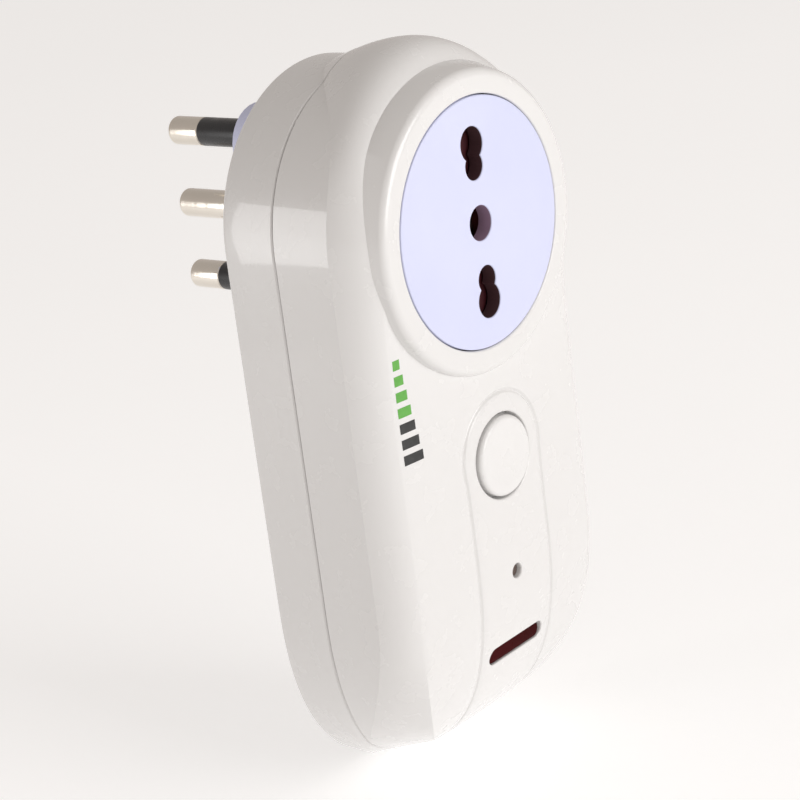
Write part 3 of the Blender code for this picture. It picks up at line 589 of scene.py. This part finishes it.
def front_cover():
    bm, rows = case_band()
    crease = [vert.co.copy() for vert in rows[CREASE_ROW]]
    forward = Vector((0.0, WALL, 0.0))
    sockets = loop(bm, circle(22.5 * MM, steps=120), front_depth, forward)
    holes = [sockets]
    holes.append(hole(bm, lambda g: circle(BUTTON_BORE + g, z=BUTTON_Z), front_depth, LIPS, forward))
    holes.append(hole(bm, lambda g: circle(LAMP_RADIUS + 0.6 * g, z=LAMP_Z, steps=32), front_depth, LIPS, forward))
    holes.append(hole(bm, lambda g: stadium(WINDOW_LENGTH, WINDOW_HEIGHT, WINDOW_Z, 0.7 * g), front_depth, LIPS,
                      forward))
    line = panel_line()
    half = 0.5 * MM
    depth = 0.38 * MM
    lines = []
    for i in range(-4, 5):
        sink = depth * (0.5 + 0.5 * cos(pi * i / 4))
        lines.append(loop(bm, offset_line(line, half * i / 4), lambda x, z: front_depth(x, z) + sink, forward))
    free = free_points(-94 * MM, 30 * MM, 32 * MM, front_depth)
    fill(bm, [rows[-1], *holes], lines, free, front_depth, forward)
    seam = part_at_seam(bm, True)
    thicken(bm)
    edge = 1.5 * MM
    lip = 0.35 * MM
    bore = DISC_RADIUS + 0.2 * MM
    profile = rounded((bore + lip, DISC_Y + lip), lip, 180, 270, 5)
    profile += rounded((COLLAR_RADIUS - edge, DISC_Y + edge), edge, -90, -5, 10)
    profile += [(COLLAR_BASE_RADIUS, -41 * MM), (COLLAR_BASE_RADIUS, COLLAR_BACK), (bore, COLLAR_BACK)]
    bm = combined(bm, spun(profile, closed=True, steps=160), "UNION")
    return piece("front_shell", bm, WHITE, "case", ["front_cover"], keep_sharp=crease + seam)


def boss_outline(grow):
    """Upright slot shape of the plug's boss, grown all round."""
    outline = stadium(2 * BOSS_HALF_HEIGHT, 2 * BOSS_HALF_WIDTH, 0.0, grow)
    return [(-z, x) for x, z in outline]


def rear_cover():
    bm, rows = case_band()
    crease = [vert.co.copy() for vert in rows[CREASE_ROW]]
    outer = rows[0]
    inward = Vector((0.0, -WALL, 0.0))
    back = lambda x, z: REAR_Y
    lips = [(grow, -sink) for grow, sink in LIPS]
    holes = [hole(bm, lambda g: boss_outline(0.1 * MM + g), back, lips, inward)]
    for x, z in CASE_SCREWS:
        holes.append(hole(bm, lambda g: circle(2.7 * MM + g, x, z, 40), back, lips, Vector((0.0, -5.3 * MM, 0.0))))
    fill(bm, [outer, *holes], (), free_points(-100 * MM, 30 * MM, 30 * MM), lambda x, z: REAR_Y, inward)
    seam = part_at_seam(bm, False)
    thicken(bm)
    return piece("rear_shell", bm, WHITE, "case", ["rear_cover"], keep_sharp=crease + seam)


# ---------------------------------------------------------------- socket and plug

def keyhole(side, grow):
    """Outline of a live hole: a large circle and a small one run together."""
    big = HOLE_RADIUS + grow
    small = SMALL_HOLE_RADIUS + grow
    apart = PIN_PITCH - SMALL_HOLE_Z
    meet = (big ** 2 - small ** 2 + apart ** 2) / (2 * apart)
    half = sqrt(big ** 2 - meet ** 2)
    first = atan2(half, meet)
    second = atan2(half, meet - apart)
    outline = []
    for i in range(41):
        turn = first + (2 * pi - 2 * first) * i / 40
        outline.append((big * sin(turn), big * cos(turn)))
    for i in range(1, 24):
        turn = -second + 2 * second * i / 24
        outline.append((small * sin(turn), apart + small * cos(turn)))
    return [(x, side * (PIN_PITCH - down)) for x, down in outline]


def socket_disc():
    bm = skin()
    back = Vector((0.0, DISC_THICKNESS, 0.0))
    face = lambda x, z: DISC_Y
    lips = [(0.6 * grow, 0.6 * sink) for grow, sink in LIPS]
    rim = [loop(bm, circle(DISC_RADIUS - grow, steps=128), DISC_Y + sink, back) for grow, sink in lips]
    band(bm, rim)
    thin = [(0.4 * grow, 0.5 * sink) for grow, sink in LIPS]
    holes = [hole(bm, lambda g: keyhole(1, g), face, thin, back), hole(bm, lambda g: keyhole(-1, g), face, thin, back)]
    holes.append(hole(bm, lambda g: circle(HOLE_RADIUS + g, steps=48), face, thin, back))
    fill(bm, [rim[0], *holes], (), free_points(-21 * MM, 21 * MM, 21 * MM), face, back)
    thicken(bm)
    for place in bm.faces:
        middle = place.calc_center_median()
        if middle.y > DISC_Y + 0.25 * MM and Vector((middle.x, middle.z)).length < DISC_RADIUS - MM:
            # Deeper faces take the dark bore moulding; those in the band of the earth hole take the purple-grey with
            # painted shade.
            place.material_index = 2 if abs(middle.z) < HOLE_RADIUS + GAP else 1
    return piece("disc_plate", bm, [LAVENDER, BORE, EARTH_BORE_PAINTED_SHADE], "case", ["socket_disc"])


def coil_spring():
    """The shutter's return spring, built at one fixed length; the real one shortens towards the rim as the shutter
    slides.
    """
    low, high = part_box("shutter_spring")
    middle = (low + high) / 2
    wire = 0.13 * MM
    coil = (high.z - low.z) / 2 - wire
    reach = high.x - low.x - 2 * wire
    turns, per_turn, sides = 7, 24, 10
    along = Vector((1.0, 0.0, 0.0))
    bm = bmesh.new()
    rings = []
    for i in range(turns * per_turn + 1):
        angle = 2 * pi * i / per_turn
        outward = Vector((0.0, sin(angle), cos(angle)))
        centre = Vector((low.x + wire + reach * i / (turns * per_turn), middle.y, middle.z)) + outward * coil
        around = [2 * pi * k / sides for k in range(sides)]
        rings.append([bm.verts.new(centre + wire * (cos(t) * outward + sin(t) * along)) for t in around])
    band(bm, rings)
    for end in (rings[0], rings[-1]):
        bm.faces.new(end)
    item = piece("coil_spring", bm, STEEL, "case", ["shutter_spring"])
    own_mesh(item)


def plug_boss():
    bm = skin()
    offset = Vector((0.0, -16.0 * MM, 0.0))
    face = lambda x, z: 0.0
    lips = [(1.6 * grow, -1.6 * sink) for grow, sink in LIPS]
    rim = [loop(bm, boss_outline(-grow), sink, offset) for grow, sink in lips]
    band(bm, rim)
    small = [(0.5 * grow, -0.5 * sink) for grow, sink in LIPS]
    holes = [hole(bm, lambda g: circle(PIN_RADIUS + 0.15 * MM + g, z=z, steps=48), face, small, offset)
             for z in (PIN_PITCH, 0.0, -PIN_PITCH)]
    fill(bm, [rim[0], *holes], (), free_points(-20 * MM, 20 * MM, 14 * MM), face, offset)
    thicken(bm)
    return piece("boss_block", bm, LAVENDER, "case", ["plug_boss"])


def pins():
    edge = 0.9 * MM
    tip = rounded((PIN_RADIUS - edge, PIN_LENGTH - edge), edge, 0, 90, 8)
    tip.append((0.0, PIN_LENGTH + 0.05 * MM))
    base = [(0.0, PIN_INNER_END), (PIN_RADIUS - 0.2 * MM, PIN_INNER_END), (PIN_RADIUS, PIN_INNER_END + 0.2 * MM)]
    piece("earth_pin", spun([*base, *tip]), NICKEL, "case", ["pin_earth"])
    for name, z in (("line", PIN_PITCH), ("neutral", -PIN_PITCH)):
        neck = [(PIN_RADIUS, -3 * MM), (NECK_RADIUS, -3 * MM), (NECK_RADIUS, SLEEVE_END),
                (PIN_RADIUS - 0.15 * MM, SLEEVE_END), (PIN_RADIUS, SLEEVE_END + 0.15 * MM)]
        piece(name + "_pin", spun([*base, *neck, *tip], z=z), NICKEL, "case", ["pin_" + name])
        round_edge = 0.2 * MM
        end = SLEEVE_END - 0.05 * MM
        sleeve = [(NECK_RADIUS + 0.02 * MM, -2.9 * MM), (PIN_RADIUS, -2.9 * MM)]
        sleeve += rounded((PIN_RADIUS - round_edge, end - round_edge), round_edge, 0, 90, 4)
        sleeve.append((NECK_RADIUS + 0.02 * MM, end))
        piece(name + "_sleeve", spun(sleeve, z=z, closed=True), SLEEVE, "case", ["sleeve_" + name])


def case_screws():
    """Domed heads with a cross recess, in the rear cover's bores."""
    for i, (x, z) in enumerate(CASE_SCREWS, 1):
        low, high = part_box(f"case_screw_{i}")
        seat = high.y - 1.8 * MM
        head = 2.4 * MM
        profile = [(0.0, low.y), (0.8 * MM, low.y), (1.3 * MM, low.y + 1.5 * MM), (1.3 * MM, seat), (head, seat)]
        profile += [(head * cos(t), seat + 0.7 * MM + 1.1 * MM * sin(t)) for t in (pi / 2 * k / 10 for k in range(10))]
        profile.append((0.0, high.y))
        bm = spun(profile, x, z, steps=40)
        for angle in (0.0, pi / 2):
            bar = bmesh.new()
            turn = Matrix.Translation((x, high.y, z)) @ Matrix.Rotation(angle + 0.4 + i, 4, "Y")
            bmesh.ops.create_cube(bar, size=1.0, matrix=turn @ Matrix.Diagonal((2.7 * MM, 2.0 * MM, 0.55 * MM, 1.0)))
            bm = combined(bm, bar, "DIFFERENCE")
        piece(f"rear_screw_{i}", bm, STEEL, "case", [f"case_screw_{i}"])


# ---------------------------------------------------------------- controls

def button():
    """The round cap: a rolled edge, a narrow flat rim and a shallow dish."""
    low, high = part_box("button_cap")
    edge = 0.8 * MM
    rim_y = BUTTON_FACE_Y
    profile = [(0.0, rim_y + 0.34 * MM)]
    profile += [(r * MM, rim_y + 0.34 * MM * (0.5 + 0.5 * cos(pi * (r / 5.4) ** 2.2))) for r in
                (0.7, 1.4, 2.1, 2.8, 3.4, 3.9, 4.3, 4.6, 4.9, 5.15, 5.4)]
    profile += rounded((BUTTON_RADIUS - edge, rim_y + edge), edge, -90, 0, 8)
    flange_front = FRONT_Y + WALL + 0.5 * MM
    profile += [(BUTTON_RADIUS, flange_front), (8.4 * MM, flange_front), (8.4 * MM, flange_front + 1.2 * MM),
                (2.2 * MM, flange_front + 1.2 * MM), (2.2 * MM, high.y), (0.0, high.y)]
    return piece("button_face", spun(profile, z=BUTTON_Z, steps=96), CAP, "button", ["button_cap"])


def lamp_and_window():
    low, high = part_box("light_pipe")
    radius = LAMP_RADIUS - 0.1 * MM
    dome = [(0.0, low.y)] + [(radius * sin(t), low.y + 0.25 * MM * (1 - cos(t))) for t in
                            (pi / 2 * k / 6 for k in range(1, 7))]
    flange = FRONT_Y + WALL + 0.5 * MM
    profile = dome + [(radius, flange), (2.4 * MM, flange), (2.4 * MM, flange + MM), (1.4 * MM, flange + MM),
                      (1.4 * MM, high.y), (0.0, high.y)]
    piece("lamp_pipe", spun(profile, z=LAMP_Z, steps=40), LAMP, "case", ["light_pipe"])
    bm = skin()
    back = Vector((0.0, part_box("indicator_window")[1].y - WINDOW_Y - 0.4 * MM, 0.0))
    rings = []
    for grow, sink in ((-0.7, 0.0), (-0.35, 0.02), (-0.18, 0.1), (-0.1, 0.3)):
        rings.append(loop(bm, stadium(WINDOW_LENGTH, WINDOW_HEIGHT, WINDOW_Z, grow * MM), WINDOW_Y + sink * MM, back))
    band(bm, rings)
    fill(bm, [rings[0]])
    thicken(bm)
    piece("window_pane", bm, WINDOW, "case", ["indicator_window"])


def level_print():
    """A plain printed level scale: bars of growing length on the left of the face."""
    bm = bmesh.new()
    top = -16.3 * MM
    pitch = 2.65 * MM
    tall = 1.65 * MM
    for i in range(7):
        z = top - pitch * i
        left = -23.3 * MM
        wide = (1.5 + 0.45 * i) * MM
        lift = 0.03 * MM
        lower, upper = [], []
        steps = 6
        for k in range(steps + 1):
            x = left + wide * k / steps
            for group, side in ((upper, 0.0), (lower, -tall)):
                y = front_depth(x, z + side)
                group.append((bm.verts.new((x, y - lift, z + side)), bm.verts.new((x, y + lift, z + side))))
        ends = [(upper[0], lower[0]), (upper[-1], lower[-1])]
        made = []
        for k in range(steps):
            a, b, c, d = upper[k], upper[k + 1], lower[k + 1], lower[k]
            made.append(bm.faces.new((a[0], b[0], c[0], d[0])))
            made.append(bm.faces.new((a[1], d[1], c[1], b[1])))
            made.append(bm.faces.new((a[0], a[1], b[1], b[0])))
            made.append(bm.faces.new((d[0], c[0], c[1], d[1])))
        for one, other in ends:
            made.append(bm.faces.new((one[0], other[0], other[1], one[1])))
        for face in made:
            face.material_index = 0 if i < 4 else 1
    return piece("level_print", bm, [GREEN_INK, DARK_INK], "case")


# ---------------------------------------------------------------- finishes of the CAD nodes that stay

KEPT = {
    "contact_carrier": INNER, "switch_plunger": INNER, "fuse": INNER, "shutter": SHUTTER,
    "contact_earth": BRASS, "contact_line": BRASS, "contact_neutral": BRASS,
    "board_screw_1": STEEL, "board_screw_2": STEEL, "socket_screw_left": STEEL,
    "socket_screw_right": STEEL, "radio_module": STEEL, "busbar_neutral": COPPER, "busbar_earth": COPPER,
    "shunt_resistor": COPPER, "radio_antenna": COPPER, "main_board": BOARD, "relay": RELAY,
    "film_capacitor": YELLOW, "varistor": VARISTOR, "meter_chip": CHIP, "tact_switch": CHIP,
    "electrolytic_capacitor": CHIP, "status_led": LAMP, "window_led_left": LAMP, "window_led_right": LAMP,
    "wire_line": BROWN, "wire_load": BROWN, "wire_neutral": BLUE,
}


def finish_kept():
    for name, finish in KEPT.items():
        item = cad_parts[name]
        if not item.material_slots:
            item.data.materials.append(finish)
        for one in item.material_slots:
            one.material = finish


# ---------------------------------------------------------------- stage, lights and camera

def area_light(name, place, target, size, power, colour=(1.0, 1.0, 1.0), size_y=None):
    data = bpy.data.lights.new(name, "AREA")
    data.energy = power
    data.color = colour
    data.shape = "RECTANGLE"
    data.size = size
    data.size_y = size_y or size
    item = bpy.data.objects.new(name, data)
    bpy.context.scene.collection.objects.link(item)
    item.location = place
    item.rotation_euler = (Vector(target) - Vector(place)).to_track_quat("-Z", "Y").to_euler()
    item.visible_camera = False
    return item


def studio():
    world = bpy.data.worlds.new("studio")
    bpy.context.scene.world = world
    world.use_nodes = True
    tree = world.node_tree
    back = tree.nodes["Background"]
    direction = node(tree, "ShaderNodeTexCoord").outputs["Generated"]
    parts = node(tree, "ShaderNodeSeparateXYZ")
    tree.links.new(direction, parts.inputs["Vector"])
    height = ranged(tree, parts.outputs["Z"], 0.0, 1.0, 0.0, 0.9)
    mix = node(tree, "ShaderNodeMix", data_type="RGBA")
    mix.inputs[6].default_value = (0.56, 0.515, 0.49, 1.0)
    mix.inputs[7].default_value = (0.44, 0.41, 0.385, 1.0)
    tree.links.new(height, mix.inputs[0])
    tree.links.new(mix.outputs[2], back.inputs["Color"])
    back.inputs["Strength"].default_value = 1.0
    aim = (0.0, -0.03, -0.035)
    area_light("key", (0.12, -1.22, 0.32), aim, 0.8, 8.2)
    side_wall = (-28.5 * MM, -32.0 * MM, 3.0 * MM)
    area_light("window", (-0.213, 0.196, 0.0), side_wall, 0.05, 0.075, size_y=0.145)
    bm = bmesh.new()
    reach = 4.0
    floor_z = -97.2 * MM
    bmesh.ops.create_grid(bm, x_segments=8, y_segments=8, size=reach, matrix=Matrix.Translation((0, 0, floor_z)))
    mesh = bpy.data.meshes.new("floor")
    bm.to_mesh(mesh)
    bm.free()
    floor = bpy.data.objects.new("floor", mesh)
    mesh.materials.append(FLOOR)
    bpy.context.scene.collection.objects.link(floor)


def camera():
    data = bpy.data.cameras.new("camera")
    data.lens = 115.2
    data.sensor_width = 36.0
    data.clip_start = 0.01
    item = bpy.data.objects.new("camera", data)
    bpy.context.scene.collection.objects.link(item)
    right = Vector((0.61374, -0.77982, -0.12331))
    up = Vector((0.31704, 0.10039, 0.94308))
    toward = right.cross(up).normalized()
    turn = Matrix((right, up, toward)).transposed()
    item.matrix_world = Matrix.Translation((-0.31461, -0.29285, 0.10189)) @ turn.to_4x4()
    bpy.context.scene.camera = item


camera()
studio()
front_cover()
rear_cover()
socket_disc()
coil_spring()
plug_boss()
pins()
case_screws()
button()
lamp_and_window()
level_print()
finish_kept()
bpy.context.scene.view_settings.view_transform = "Standard"
